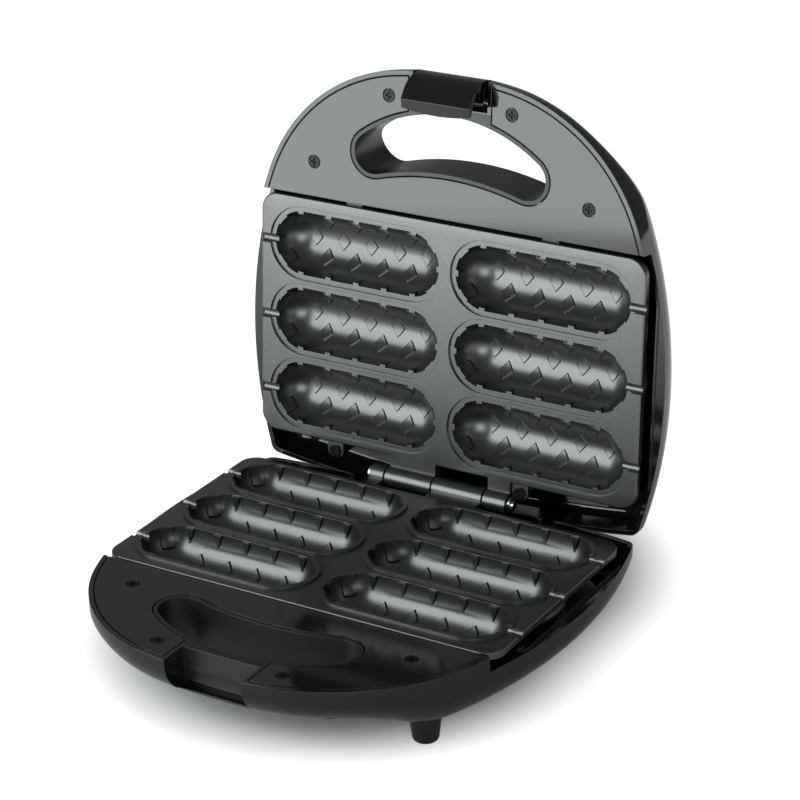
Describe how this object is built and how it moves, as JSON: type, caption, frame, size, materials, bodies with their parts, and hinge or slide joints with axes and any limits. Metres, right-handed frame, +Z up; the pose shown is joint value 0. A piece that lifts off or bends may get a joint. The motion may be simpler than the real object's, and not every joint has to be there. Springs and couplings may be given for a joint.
{
  "type": "hot dog machine",
  "caption": "Clamshell hot dog machine with sausage-shaped moulds in both hinged plates, a handle with a finger hole, a hinged latch and tapered feet.",
  "frame": {"origin": "middle of the footprint of the opened machine, on the surface that its feet stand on", "axes": "+Z up, -Y towards the handle of the base and the user, +X to the user's right along the hinge"},
  "size_m": [0.255, 0.2766, 0.2796],
  "materials": {
    "black_shell": "high gloss",
    "nonstick_plate": "satin non-stick coat",
    "black_screw": "blackened",
    "steel": "satin",
    "tube": "dull",
    "ceramic": "matte",
    "shield": "bright sheet",
    "board": "matte",
    "red_lens": "clear red",
    "green_lens": "clear green",
    "lamp": "clear",
    "rubber_bush": "matte"
  },
  "bodies": {
    "base": {"base_shell": "black_shell", "base_handle_cover": "black_shell", "base_cover_screws": "black_screw", "lower_plate": "nonstick_plate", "lower_plate_screws": "black_screw", "lower_heating_element": "tube", "lower_element_insulators": "ceramic", "lower_heat_shield": "shield", "lower_shield_screws": "steel", "thermostat": "steel", "thermal_fuse": "ceramic", "terminal_block": "ceramic", "cord_gland": "rubber_bush", "front_feet": "black_shell", "rear_feet": "black_shell", "foot_screws": "steel", "hinge_pin": "steel", "hinge_pin_clip": "steel"},
    "lid": {"lid_shell": "black_shell", "lid_handle_cover": "black_shell", "lid_cover_screws": "black_screw", "upper_plate": "nonstick_plate", "upper_plate_screws": "black_screw", "upper_heating_element": "tube", "upper_element_insulators": "ceramic", "upper_heat_shield": "shield", "upper_shield_screws": "steel", "lamp_board": "board", "lamp_board_screws": "steel", "indicator_lamps": "lamp", "power_lamp_lens": "red_lens", "ready_lamp_lens": "green_lens", "latch_pin": "steel"},
    "latch": {"latch": "black_shell"}
  },
  "joints": [
    {"name": "lid_hinge", "type": "hinge", "parent": "base", "child": "lid", "pos_m": [0, 0.09164, 0.0503], "axis": [1, 0, 0], "range_deg": [0, 94.5]},
    {"name": "latch_hinge", "type": "hinge", "parent": "lid", "child": "latch", "pos_m": [0, 0.11207, 0.26787], "axis": [-1, 0, 0], "range_deg": [0, 40]}
  ]
}
